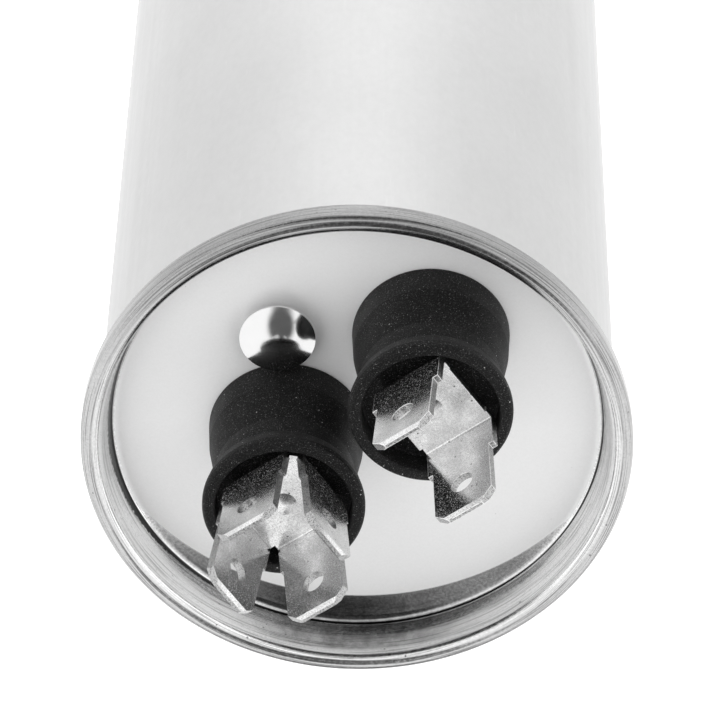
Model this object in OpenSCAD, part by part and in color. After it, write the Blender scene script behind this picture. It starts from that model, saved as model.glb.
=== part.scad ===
// Motor run capacitor: a round drawn can closed by a rolled-on lid, with a four-way and a
// two-way push-on terminal standing on insulating posts, and a film winding sealed inside.
// +Z is up, and the can stands on its flat base with the terminals on top. Millimetres.

/* [Can] */
// Outer diameter of the can
can_d = 50; // [49:0.5:53]
// Height from the base to the crest of the rolled seam
can_h = 100; // [75:1:150]
// Thickness of the can wall
can_wall = 0.4; // [0.3:0.05:0.4]
// Thickness of the can base
base_t = 0.8; // [0.6:0.1:1.2]
// Outer radius between the base and the wall
base_round = 1.5; // [1.2:0.1:2.5]

/* [Lid and seam] */
// Thickness of the lid sheet
lid_t = 0.3; // [0.2:0.05:0.3]
// Depth of the lid panel below the seam crest
recess = 4.9; // [4:0.1:6]
// How far the rolled seam stands out beyond the can wall
seam_out = 1.6; // [1.6:0.05:1.9]
// Height of the rolled seam
seam_h = 2.7; // [2.6:0.1:3.2]

/* [Posts] */
// Place of the four-way post, across and front to back
four_way_at = [6.8, 0.7];
// Place of the two-way post, across and front to back
two_way_at = [-6.85, -10.5];
// Place of the filling plug, across and front to back
plug_at = [7.8, -10.75];

/* [Insulators] */
// Height of an insulator above the lid
post_h = 13.6; // [12.5:0.1:16]
// Diameter of the foot where it stands on the lid
foot_d = 15.1; // [14.6:0.1:15.4]
// Height of the foot
foot_h = 3.4; // [2:0.1:5]
// Diameter of the waist between foot and skirt
waist_d = 13.4; // [13:0.1:14]
// Diameter of the skirt at the top
skirt_d = 15.5; // [15.4:0.1:16]
// Height of the skirt
skirt_h = 2.2; // [1.6:0.1:3]
// Wall left round the cup in the top
cup_wall = 1.25; // [0.9:0.05:1.25]
// Depth of the cup
cup_depth = 2.6; // [2.3:0.1:2.8]

/* [Terminals] */
// Width of a push-on tab
tab_w = 6.35; // [6.2:0.05:6.5]
// Thickness of the terminal sheet
tab_t = 0.8; // [0.5:0.05:0.85]
// Diameter of the latch hole
latch_d = 2.3; // [1.6:0.1:2.6]
// Corner cut at the tip of a tab
tip_cut = 1.3; // [0.5:0.1:1.8]
// Depth of the base plate top below the rim of the cup
plate_below = 0.8; // [0.5:0.1:1.4]

/* [Four-way terminal] */
// How the terminal is turned about its post, in degrees
four_way_turn = 36; // [0:1:89]
// How far each tab leans outwards in degrees, counted round from the turn
four_way_leans = [9.3, 9.4, 5.4, 6.6];
// Length of a tab from the plate to its tip
four_way_tab_l = 10.65; // [9.5:0.05:13]
// Length of a tab from the plate to its shoulders
four_way_shoulder = 3.25; // [2:0.05:4]
// Length of a tab from the plate to its latch hole
four_way_latch = 6.75; // [6:0.05:7.5]
// Width of a tab's root, below its shoulders
four_way_root_w = 7; // [6.6:0.1:7.2]
// From the middle of the plate to the inside of a tab
four_way_fold_at = 4; // [3.8:0.05:4.2]

/* [Two-way terminal] */
// How the terminal is turned about its post, in degrees
two_way_turn = 126.7; // [90:0.1:179]
// How far each tab leans outwards in degrees, counted round from the turn
two_way_leans = [3.6, 5.8];
// Length of a tab from the plate to its tip
two_way_tab_l = 11.2; // [9.5:0.05:13]
// Length of a tab from the plate to its shoulders
two_way_shoulder = 3.6; // [2:0.05:4]
// Length of a tab from the plate to its latch hole
two_way_latch = 7.05; // [6:0.05:7.5]
// Width of a tab's root, below its shoulders
two_way_root_w = 7.4; // [6.9:0.1:7.4]
// From the middle of the plate to the inside of a tab
two_way_fold_at = 3.8; // [3.6:0.05:3.9]
// How far the plate's middle sits off its rivet, along and across the strip
two_way_shift = [0.15, 0.45];
// Edges of the strip, to either side of its tabs' centre line
two_way_strip = [-4, 3.6];

/* [Winding] */
// Diameter of the film winding
winding_d = 45.2; // [40:0.2:45.6]
// Length of the film winding
winding_l = 80; // [55:1:80]
// Outer diameter of the core tube
core_d = 8; // [7:0.5:12]
// Bore of the core tube
core_bore = 6; // [5:0.5:6]
// Thickness of the sprayed metal on each end of the winding
spray_t = 0.5; // [0.3:0.1:0.8]
// Diameter of the lead wires
wire_d = 1.2; // [0.8:0.1:1.4]

/* [Hidden] */
$fn = 96;

// Can and seam, as radii and heights
can_r = can_d / 2;
seam_r = can_r + seam_out;
lid_z = can_h - recess;
fit_gap = 0.05;                       // clearance between pieces pressed together
flare_out = 0.35;                     // the wall steps out by this much into the seam
flare_z = can_h - seam_h - 0.7;
hook_z = can_h - seam_h + 2 * lid_t;  // centre of the lid's return bend
neck_in = can_r - can_wall + flare_out;         // inside of the wall within the seam
neck_out = neck_in + can_wall;
lid_hook_out = neck_out + fit_gap + lid_t;      // the lid's own hook lies on the wall
can_hook_in = lid_hook_out + fit_gap;
can_hook_out = can_hook_in + can_wall;
can_bend_z = can_h - lid_t - fit_gap - (can_hook_out - neck_in) / 2;
crest_round = 0.85;                   // outer corner of the crest
lip_round = 0.75;                     // inner corner of the crest
panel_round = 0.9;                    // corner between the panel and the chuck wall
lip_r = can_r - 0.33;                 // chuck wall at the height of the lip
panel_r = lip_r - 0.9;                // chuck wall at the height of the panel
chuck_lean = atan((lip_r - panel_r) / (recess - lip_round));

// Posts, measured up from the top of the lid panel
plate_z = post_h - plate_below;       // top of a terminal's base plate
foot_draft = 0.15;                    // the foot narrows by this much to its top
waist_z = 8;                          // the neck narrows from the foot up to here
skirt_draft = 0.3;                    // the skirt's lower edge lies in by this much
flare_h = 0.9;                        // height of the flare under the skirt
rim_round = 0.45;
boss_r = 3.3;
shank_r = 0.9;
bore_r = shank_r + fit_gap;
collar_r = 2.5;
lid_hole_r = collar_r + 0.1;
gasket_t = 1;
gasket_r = 5.5;
inner_washer_t = 1.3;
inner_washer_r = 6;
collar_low = -lid_t - inner_washer_t; // underside of the inner washer
lug_t = 0.5;
lug_low = collar_low - lug_t;
lug_reach = 5.5;                      // from the rivet to the wire hole of the lug
four_way_hole = four_way_at * (1 + lug_reach / norm(four_way_at));  // outwards
two_way_hole = two_way_at * (1 - lug_reach / norm(two_way_at));     // towards the axis
head_r = 1.25;
head_h = 0.15;
clinch_r = 2;
clinch_h = 0.6;

// Plug
plug_r = 3.64;
plug_up = 1.5;                        // underside of the head above the lid
plug_rise = 0.95;                     // crown of the dome above its edge
plug_edge = 0.25;
plug_neck_r = 1.85;

// Terminals
bend_in = 0.2;                        // inside radius of the folds
ear = 0.7;                            // flat length that a tab shares with its plate
relief_at = 5.15;                     // relief slot of the four-way plate
relief_r = 0.55;
tongue_r = 5.65;                      // uncut corner of the four-way plate

// Inside of the can
cushion_t = 1.5;
winding_low = base_t + cushion_t + 1.5 + spray_t;
winding_top = winding_low + winding_l;
liner_in = winding_d / 2 + 0.6;
liner_t = 0.5;
wire_turn = 2;                        // radius of a wire's bends
wire_r = wire_d / 2;

// ---------------------------------------------------------------- plane shapes

// Points of an arc about c from angle a0 to angle a1
function arc(c, r, a0, a1) = let (n = max(4, round(abs(a1 - a0) / 9)))
    [for (i = [0:n]) let (a = a0 + (a1 - a0) * i / n) c + r * [cos(a), sin(a)]];

// Rectangle between two radii and two heights
module block(r0, r1, z0, z1) translate([r0, z0]) square([r1 - r0, z1 - z0]);

// Ring sector about the origin between two angles less than 180 degrees apart
module sector(r0, r1, a0, a1) {
    reach = 3 * r1;
    difference() {
        intersection() {
            circle(r1);
            polygon([[0, 0], for (i = [0:4]) let (a = a0 + (a1 - a0) * i / 4) reach * [cos(a), sin(a)]]);
        }
        circle(r0);
    }
}

// What a round of radius r takes off a corner at p, whose material lies against dir
module corner_cut(p, r, dir) {
    q = p - r * dir;
    difference() {
        translate([min(p[0], q[0]), min(p[1], q[1])]) square(r);
        translate(q) circle(r);
    }
}

// Round bar or tube turned about the vertical
module tube(r0, r1, z0, z1) {
    if (r0 > 0) difference() {
        translate([0, 0, z0]) cylinder(r = r1, h = z1 - z0);
        translate([0, 0, z0 - 1]) cylinder(r = r0, h = z1 - z0 + 2);
    }
    else translate([0, 0, z0]) cylinder(r = r1, h = z1 - z0);
}

// Puts a child on the lid panel at a post
module on_lid(at) translate([at[0], at[1], lid_z]) children();

// ---------------------------------------------------------------- can and lid

// Section of the can: base, wall, flare and the hook inside the seam
module can_section() {
    inner_r = can_r - can_wall;
    inner_round = base_round - can_wall;
    difference() {
        block(0, can_r, 0, flare_z);
        block(0, inner_r - inner_round, base_t, flare_z);
        block(0, inner_r, base_t + inner_round, flare_z);
        translate([inner_r - inner_round, base_t + inner_round]) circle(inner_round);
        corner_cut([can_r, 0], base_round, [1, -1]);
    }
    polygon([[inner_r, flare_z], [can_r, flare_z], [neck_out, flare_z + 1], [neck_in, flare_z + 1]]);
    block(neck_in, neck_out, flare_z + 1, can_bend_z);
    bend_r = (neck_in + can_hook_out) / 2;
    translate([bend_r, can_bend_z]) {
        sector(can_hook_in - bend_r, can_hook_out - bend_r, 0, 90);
        sector(can_hook_in - bend_r, can_hook_out - bend_r, 90, 180);
    }
    block(can_hook_in, can_hook_out, hook_z + 0.1, can_bend_z);
}

module can_shell() color([0.86, 0.87, 0.88]) rotate_extrude() can_section();

// Section of the lid as one sheet, out along its upper face and back along its lower face:
// panel, chuck wall, crest, outer wall, and the hook that turns up again beside the can
module lid_section() {
    face_low = panel_r + panel_round * tan(chuck_lean);
    low_c = [face_low - panel_round / cos(chuck_lean), lid_z + panel_round];
    lip_c = [lip_r + lip_round / cos(chuck_lean), can_h - lip_round];
    crest_c = [seam_r - crest_round, can_h - crest_round];
    hook_c = [(seam_r + lid_hook_out - lid_t) / 2, hook_z];
    hook_r = seam_r - hook_c[0];
    hook_top = can_bend_z - 0.25;
    polygon(concat(
        [[0, lid_z]],
        arc(low_c, panel_round, -90, -chuck_lean),
        arc(lip_c, lip_round, 180 - chuck_lean, 90),
        arc(crest_c, crest_round, 90, 0),
        arc(hook_c, hook_r, 0, -180),
        [[lid_hook_out - lid_t, hook_top], [lid_hook_out, hook_top]],
        arc(hook_c, hook_r - lid_t, -180, 0),
        arc(crest_c, crest_round - lid_t, 0, 90),
        arc(lip_c, lip_round - lid_t, 90, 180 - chuck_lean),
        arc(low_c, panel_round + lid_t, -chuck_lean, -90),
        [[0, lid_z - lid_t]]));
}

module lid() color([0.83, 0.84, 0.85]) difference() {
    rotate_extrude() lid_section();
    for (at = [four_way_at, two_way_at])
        translate([at[0], at[1], lid_z - 1]) cylinder(r = lid_hole_r, h = 2);
    translate([plug_at[0], plug_at[1], lid_z - 1]) cylinder(r = plug_neck_r + fit_gap, h = 2);
}

// Sealing compound between the can's hook and the outer wall of the seam
module seam_seal() color([0.55, 0.45, 0.3])
    tube(can_hook_out, seam_r - lid_t, hook_z + 0.1, can_bend_z - 0.1);

// ---------------------------------------------------------------- filling plug

// Domed plug standing on its washer, set over below the lid
module fill_plug() {
    ball_r = (plug_r * plug_r + plug_rise * plug_rise) / (2 * plug_rise);
    edge_z = plug_up + plug_edge;
    color([0.9, 0.9, 0.92]) on_lid(plug_at) {
        intersection() {
            translate([0, 0, edge_z + plug_rise - ball_r]) sphere(ball_r);
            translate([0, 0, edge_z]) cylinder(r = plug_r, h = 2 * plug_rise);
        }
        tube(0, plug_r, plug_up, edge_z);
        tube(0, plug_neck_r, -lid_t, plug_up);
        tube(0, plug_neck_r + 0.8, -lid_t - 0.8, -lid_t);
    }
}

module plug_washer() color([0.08, 0.08, 0.08]) on_lid(plug_at)
    tube(plug_neck_r + fit_gap, 2.6, 0, plug_up);

// ---------------------------------------------------------------- posts

// Section of an insulator: drafted foot, waisted neck, skirt, and a cup with a boss in the top
module insulator_section() {
    foot_r = foot_d / 2;
    waist_r = waist_d / 2;
    skirt_r = skirt_d / 2;
    cup_r = skirt_r - cup_wall;
    skirt_z = post_h - skirt_h;
    difference() {
        union() {
            polygon([[bore_r, 0], [foot_r, 0], [foot_r - foot_draft, foot_h], [waist_r, waist_z],
                     [waist_r, skirt_z - flare_h], [skirt_r - skirt_draft, skirt_z],
                     [skirt_r, post_h - 2 * rim_round], [skirt_r, post_h], [bore_r, post_h]]);
            block(bore_r, collar_r, collar_low, 0);
        }
        corner_cut([skirt_r, post_h], rim_round, [1, 1]);
        block(boss_r, cup_r, post_h - cup_depth, post_h);
        block(0, cup_r, plate_z - tab_t, post_h);
        block(collar_r, gasket_r + 0.1, 0, gasket_t);
    }
}

module insulator(at) color([0.1, 0.1, 0.105]) on_lid(at) rotate_extrude() insulator_section();
module four_way_insulator() insulator(four_way_at);
module two_way_insulator() insulator(two_way_at);

// Rubber ring in the pocket under the foot
module gasket(at) color([0.05, 0.05, 0.05]) on_lid(at) tube(collar_r + fit_gap, gasket_r, 0, gasket_t);
module four_way_gasket() gasket(four_way_at);
module two_way_gasket() gasket(two_way_at);

// Insulating washer on the collar below the lid
module inner_washer(at) color([0.45, 0.28, 0.15]) on_lid(at)
    tube(collar_r + fit_gap, inner_washer_r, collar_low, -lid_t);
module four_way_inner_washer() inner_washer(four_way_at);
module two_way_inner_washer() inner_washer(two_way_at);

// Rivet that holds the terminal, the insulator and the lug together
module rivet(at) {
    ball_r = (head_r * head_r + head_h * head_h) / (2 * head_h);
    color([0.8, 0.8, 0.8]) on_lid(at) {
        intersection() {
            translate([0, 0, plate_z + head_h - ball_r]) sphere(ball_r);
            translate([0, 0, plate_z]) cylinder(r = head_r, h = 1);
        }
        tube(0, shank_r, lug_low, plate_z);
        tube(0, clinch_r, lug_low - clinch_h, lug_low);
    }
}
module four_way_rivet() rivet(four_way_at);
module two_way_rivet() rivet(two_way_at);

// Ring lug under the inner washer, with its wire hole at the end of a tongue
module lug(at, hole) color([0.78, 0.66, 0.35]) on_lid(at) {
    way = hole - at;
    rotate([0, 0, atan2(way[1], way[0])]) translate([0, 0, lug_low]) linear_extrude(lug_t)
        difference() {
            union() {
                circle(3.4);
                translate([0, -1.6]) square([lug_reach, 3.2]);
                translate([lug_reach, 0]) circle(1.6);
            }
            circle(bore_r);
            translate([lug_reach, 0]) circle(wire_r + fit_gap);
        }
}
module four_way_lug() lug(four_way_at, four_way_hole);
module two_way_lug() lug(two_way_at, two_way_hole);

// ---------------------------------------------------------------- terminals

// Side view of one tab: a stub of the plate, the fold, and the leaning blade with its bevelled tip
module tab_side(at, long, lean) {
    back = bend_in * (1 - sin(lean)) / cos(lean);  // tangent length of the fold
    blade = long - back;
    bevel = 0.22;
    translate([at - back, bend_in]) {
        translate([-ear, -bend_in - tab_t]) square([ear, tab_t]);
        sector(bend_in, bend_in + tab_t, -90, -lean);
        rotate(-lean) translate([bend_in, 0])
            polygon([[0, 0], [tab_t, 0], [tab_t, blade - 2 * bevel], [tab_t - bevel, blade],
                     [bevel, blade], [0, blade - 2 * bevel]]);
    }
}

// Front view of one tab: root, shoulders, blade and cut corners
module tab_front(long, shoulder, root_w) {
    w = tab_w / 2;
    root = root_w / 2;
    polygon([[-root, -2], [root, -2], [root, shoulder], [w, shoulder], [w, long - tip_cut],
             [w - tip_cut, long], [tip_cut - w, long], [-w, long - tip_cut], [-w, shoulder],
             [-root, shoulder]]);
}

// One tab standing at the +X side of its plate, whose top is at height 0
module tab(at, long, shoulder, latch, root_w, lean) difference() {
    intersection() {
        rotate([90, 0, 0]) linear_extrude(root_w + 2, center = true) tab_side(at, long, lean);
        translate([at, 0, 0]) rotate([0, lean, 0]) rotate([90, 0, 90])
            linear_extrude(12, center = true) tab_front(long, shoulder, root_w);
    }
    translate([at, 0, 0]) rotate([0, lean, 0]) translate([0, 0, latch])
        rotate([0, 90, 0]) cylinder(r = latch_d / 2, h = 6, center = true, $fn = 48);
}

// Square plate with a tab on each side, a relief slot at one corner and an uncut corner opposite
module four_way_terminal() color([0.8, 0.8, 0.8])
    on_lid(four_way_at) translate([0, 0, plate_z]) rotate([0, 0, four_way_turn]) {
        translate([0, 0, -tab_t]) linear_extrude(tab_t) difference() {
            union() {
                square(2 * four_way_fold_at - 2 * ear, center = true);
                rotate(225) polygon([[3, -0.7], [tongue_r, -0.4], [tongue_r, 0.4], [3, 0.7]]);
            }
            circle(bore_r);
            rotate(45) translate([relief_at, 0]) circle(relief_r);
        }
        for (k = [0:3]) rotate([0, 0, 90 * k])
            tab(four_way_fold_at, four_way_tab_l, four_way_shoulder, four_way_latch,
                four_way_root_w, four_way_leans[k]);
    }

// Strip with a tab at each end, set a little to one side of them
module two_way_terminal() color([0.8, 0.8, 0.8])
    on_lid(two_way_at) translate([0, 0, plate_z]) rotate([0, 0, two_way_turn]) {
        translate([two_way_shift[0], two_way_shift[1], 0]) {
            half = two_way_fold_at - ear;
            translate([0, 0, -tab_t]) linear_extrude(tab_t) difference() {
                translate([-half, two_way_strip[0]])
                    square([2 * half, two_way_strip[1] - two_way_strip[0]]);
                translate(-two_way_shift) circle(bore_r);
            }
            for (k = [0, 1]) rotate([0, 0, 180 * k])
                tab(two_way_fold_at, two_way_tab_l, two_way_shoulder, two_way_latch,
                    two_way_root_w, two_way_leans[k]);
        }
    }

// ---------------------------------------------------------------- leads

// Quarter bend of wire in the XZ plane, from heading down at the origin to heading along +X
module wire_bend() translate([wire_turn, 0, 0]) rotate([90, 0, 0])
    rotate([0, 0, 180]) rotate_extrude(angle = 90) translate([wire_turn, 0]) circle(wire_r);

// Lead from the four-way lug straight down, bent flat onto the sprayed top of the winding
module four_way_wire() {
    low = winding_top + spray_t + wire_r;
    top = lid_z + lug_low + lug_t;
    color([0.75, 0.75, 0.75]) translate(four_way_hole) rotate([0, 0, 90]) {
        translate([0, 0, low + wire_turn]) {
            cylinder(r = wire_r, h = top - low - wire_turn);
            wire_bend();
        }
        translate([wire_turn, 0, low]) rotate([0, 90, 0]) cylinder(r = wire_r, h = 6);
    }
}

// Lead from the two-way lug, in to the axis, down the core and out under the winding
module two_way_wire() {
    run = norm(two_way_hole);
    top = lid_z + lug_low + lug_t;
    high = top - 5;
    low = winding_low - spray_t - wire_r;
    color([0.75, 0.75, 0.75])
    rotate([0, 0, atan2(-two_way_at[1], -two_way_at[0])]) translate([-run, 0, 0]) {
        translate([0, 0, high + wire_turn]) {
            cylinder(r = wire_r, h = top - high - wire_turn);
            wire_bend();
        }
        translate([wire_turn, 0, high]) rotate([0, 90, 0])
            cylinder(r = wire_r, h = run - 2 * wire_turn);
        translate([run, 0, high - wire_turn]) rotate([0, 0, 180]) mirror([0, 0, 1]) wire_bend();
        translate([run, 0, low + wire_turn]) {
            cylinder(r = wire_r, h = high - low - 2 * wire_turn);
            wire_bend();
        }
        translate([run + wire_turn, 0, low]) rotate([0, 90, 0]) cylinder(r = wire_r, h = 9);
    }
}

// Insulating sleeve over the upright stretch of the four-way lead
module four_way_sleeve() color([0.9, 0.88, 0.8]) {
    low = winding_top + spray_t + wire_r + wire_turn;
    translate(four_way_hole) tube(wire_r, wire_r + 0.4, low, lid_z + lug_low - 0.5);
}

// Insulating sleeve over the two-way lead where it runs down the core
module two_way_sleeve() color([0.9, 0.88, 0.8])
    tube(wire_r, wire_r + 0.4, winding_low + wire_turn, winding_top);

// ---------------------------------------------------------------- winding and packing

module winding() color([0.75, 0.72, 0.66]) tube(core_d / 2, winding_d / 2, winding_low, winding_top);

module core_tube() color([0.9, 0.9, 0.86])
    tube(core_bore / 2, core_d / 2, winding_low - spray_t, winding_top + spray_t);

module top_end_spray() color([0.6, 0.61, 0.63])
    tube(core_d / 2, winding_d / 2 - 0.3, winding_top, winding_top + spray_t);

module bottom_end_spray() color([0.6, 0.61, 0.63])
    tube(core_d / 2, winding_d / 2 - 0.3, winding_low - spray_t, winding_low);

// Wrapped insulating sleeve between the winding and the can
module liner_sleeve() color([0.85, 0.82, 0.7])
    tube(liner_in, liner_in + liner_t, base_t + cushion_t, lid_z - 3);

// Dished disc that holds the winding off the base and leaves room for the lead
module base_cushion() color([0.8, 0.8, 0.78]) {
    tube(0, can_r - base_round - 0.1, base_t, base_t + cushion_t);
    tube(winding_d / 2 - 4, winding_d / 2, base_t + cushion_t, winding_low - spray_t);
}

// Ring between the winding and the lid
module top_spacer() color([0.8, 0.8, 0.78])
    tube(winding_d / 2 - 1.8, winding_d / 2 - 0.4, winding_top + spray_t, lid_z - lid_t);

can_shell();
seam_seal();
lid();
fill_plug();
plug_washer();
four_way_insulator();
two_way_insulator();
four_way_gasket();
two_way_gasket();
four_way_inner_washer();
two_way_inner_washer();
four_way_terminal();
two_way_terminal();
four_way_rivet();
two_way_rivet();
four_way_lug();
two_way_lug();
four_way_wire();
two_way_wire();
four_way_sleeve();
two_way_sleeve();
winding();
core_tube();
top_end_spray();
bottom_end_spray();
liner_sleeve();
base_cushion();
top_spacer();
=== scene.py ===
"""Finishes and stages a round metal-can motor run capacitor.

The can stands on its base with +Z up. The camera looks down into the lid from the side of the
two-way terminal, at -Y. Back means that side, and front the side of the four-way terminal, at +Y.
All lengths are in metres.
"""

import math

import bmesh
import bpy
from bpy.props import FloatProperty, FloatVectorProperty, IntProperty, PointerProperty
from mathutils import Matrix, Vector
from mathutils.bvhtree import BVHTree


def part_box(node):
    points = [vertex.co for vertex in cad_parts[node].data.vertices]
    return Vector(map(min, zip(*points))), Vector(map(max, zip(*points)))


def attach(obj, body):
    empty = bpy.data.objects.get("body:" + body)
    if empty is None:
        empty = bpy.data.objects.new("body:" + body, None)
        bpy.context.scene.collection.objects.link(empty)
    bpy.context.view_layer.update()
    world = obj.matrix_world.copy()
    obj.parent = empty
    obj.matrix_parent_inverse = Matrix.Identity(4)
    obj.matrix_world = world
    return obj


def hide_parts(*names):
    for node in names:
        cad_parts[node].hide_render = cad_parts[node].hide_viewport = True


bl_info = {
    "name": "Motor Run Capacitor",
    "version": (1, 0, 0),
    "blender": (4, 5, 0),
    "location": "View3D > Sidebar > Capacitor",
    "description": "Finishes and stages a round metal-can motor run capacitor",
    "category": "Object",
}

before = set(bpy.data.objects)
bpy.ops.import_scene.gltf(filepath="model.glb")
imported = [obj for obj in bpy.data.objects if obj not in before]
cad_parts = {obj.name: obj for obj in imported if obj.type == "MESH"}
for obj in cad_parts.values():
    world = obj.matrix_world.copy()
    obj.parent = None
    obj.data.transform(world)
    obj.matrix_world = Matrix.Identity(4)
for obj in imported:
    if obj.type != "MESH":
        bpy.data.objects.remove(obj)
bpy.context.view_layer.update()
MM = 0.001
POSTS = ("four_way", "two_way")

SEAM_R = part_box("lid")[1].x
CAN_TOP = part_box("lid")[1].z
LID_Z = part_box("four_way_gasket")[0].z


def middle(node):
    """Middle of a node's box."""
    low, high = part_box(node)
    return (low + high) / 2


# ------------------------------------------------------------------ sizes and colours


class CanSettings(bpy.types.PropertyGroup):
    tone: FloatVectorProperty(
        name="Aluminium", description="Colour of the drawn can", subtype="COLOR", default=(0.53, 0.53, 0.53)
    )
    roughness: FloatProperty(name="Roughness", description="Mean roughness of the can wall", default=0.34)
    draw_line: FloatProperty(
        name="Draw line", description="Depth of the drawing lines", unit="LENGTH", default=0.0008 * MM
    )


class LidSettings(bpy.types.PropertyGroup):
    tone: FloatVectorProperty(
        name="Tinplate", description="Colour of the dull panel", subtype="COLOR", default=(0.94, 0.94, 0.94)
    )
    bright_tone: FloatVectorProperty(
        name="Bright tinplate",
        description="Colour that the shades of the crescent, the wall and the rim come from",
        subtype="COLOR",
        default=(0.62, 0.62, 0.62),
    )
    roughness: FloatProperty(name="Roughness", description="Roughness of the dull panel", default=0.38)
    dip: FloatProperty(name="Dip", description="Slope of the dark crescent towards the front", default=0.08)
    crest: FloatProperty(
        name="Crest", description="Share of light that the outer half of the crest gives back", default=0.78
    )
    crescent_back: FloatProperty(
        name="Crescent back",
        description="How far back the crescent's circle is set",
        unit="LENGTH",
        default=6.29 * MM,
    )
    crescent_radius: FloatProperty(
        name="Crescent radius",
        description="Radius of the crescent's circle",
        unit="LENGTH",
        default=26.91 * MM,
    )
    sheet: FloatProperty(name="Sheet", description="Thickness of the lid", unit="LENGTH", default=0.3 * MM)
    panel_radius: FloatProperty(
        name="Panel",
        description="Radius at which the wall meets the panel",
        unit="LENGTH",
        default=23.77 * MM,
    )
    steps: IntProperty(name="Steps", description="Faces round the lid", default=256)


class PostSettings(bpy.types.PropertyGroup):
    tone: FloatVectorProperty(
        name="Black plastic",
        description="Colour of the posts",
        subtype="COLOR",
        default=(0.006, 0.006, 0.006),
    )
    roughness: FloatProperty(name="Roughness", description="Mean roughness of the posts", default=0.5)
    corner: FloatProperty(
        name="Corner", description="Radius of a moulded corner", unit="LENGTH", default=0.16 * MM
    )
    steps: IntProperty(name="Steps", description="Faces round a post", default=160)


class TerminalSettings(bpy.types.PropertyGroup):
    tone: FloatVectorProperty(
        name="Tinned steel",
        description="Colour of the terminals",
        subtype="COLOR",
        default=(0.76, 0.76, 0.76),
    )
    roughness: FloatProperty(name="Roughness", description="Roughness of a rolled face", default=0.14)
    edge: FloatProperty(
        name="Edge",
        description="Width of the worn edge left by the press tool",
        unit="LENGTH",
        default=0.07 * MM,
    )


class StageSettings(bpy.types.PropertyGroup):
    tilt: FloatProperty(
        name="Tilt",
        description="Angle between the line of sight and the axis of the can",
        subtype="ANGLE",
        default=math.radians(34.38),
    )
    roll: FloatProperty(
        name="Roll", description="Roll of the camera", subtype="ANGLE", default=math.radians(1.30)
    )
    aside: FloatProperty(
        name="Aside",
        description="Turn of the camera to one side of the lid's middle",
        subtype="ANGLE",
        default=math.radians(-0.03),
    )
    up: FloatProperty(
        name="Up",
        description="Turn of the camera up from the lid's middle",
        subtype="ANGLE",
        default=math.radians(0.70),
    )
    distance: FloatProperty(
        name="Distance", description="From the camera to the lid", unit="LENGTH", default=502.8 * MM
    )
    lens: FloatProperty(name="Lens", description="Focal length on a 36 mm frame", default=259.65)
    sky: FloatProperty(name="Sky", description="Strength of the overhead light", default=1.4)


# ------------------------------------------------------------------ node helpers


class Graph:
    """Adds nodes to a tree. An input takes a value, or another node's output to link to."""

    def __init__(self, tree):
        self.tree = tree

    def add(self, kind, inputs=None, **settings):
        node = self.tree.nodes.new(kind)
        for name, value in settings.items():
            setattr(node, name, value)
        for key, value in (inputs or {}).items():
            self.put(node.inputs[key], value)
        return node

    def put(self, socket, value):
        if isinstance(value, bpy.types.NodeSocket):
            self.tree.links.new(value, socket)
        else:
            socket.default_value = value

    def math(self, operation, *values):
        inputs = dict(enumerate(values))
        return self.add("ShaderNodeMath", inputs, operation=operation).outputs[0]


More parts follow.
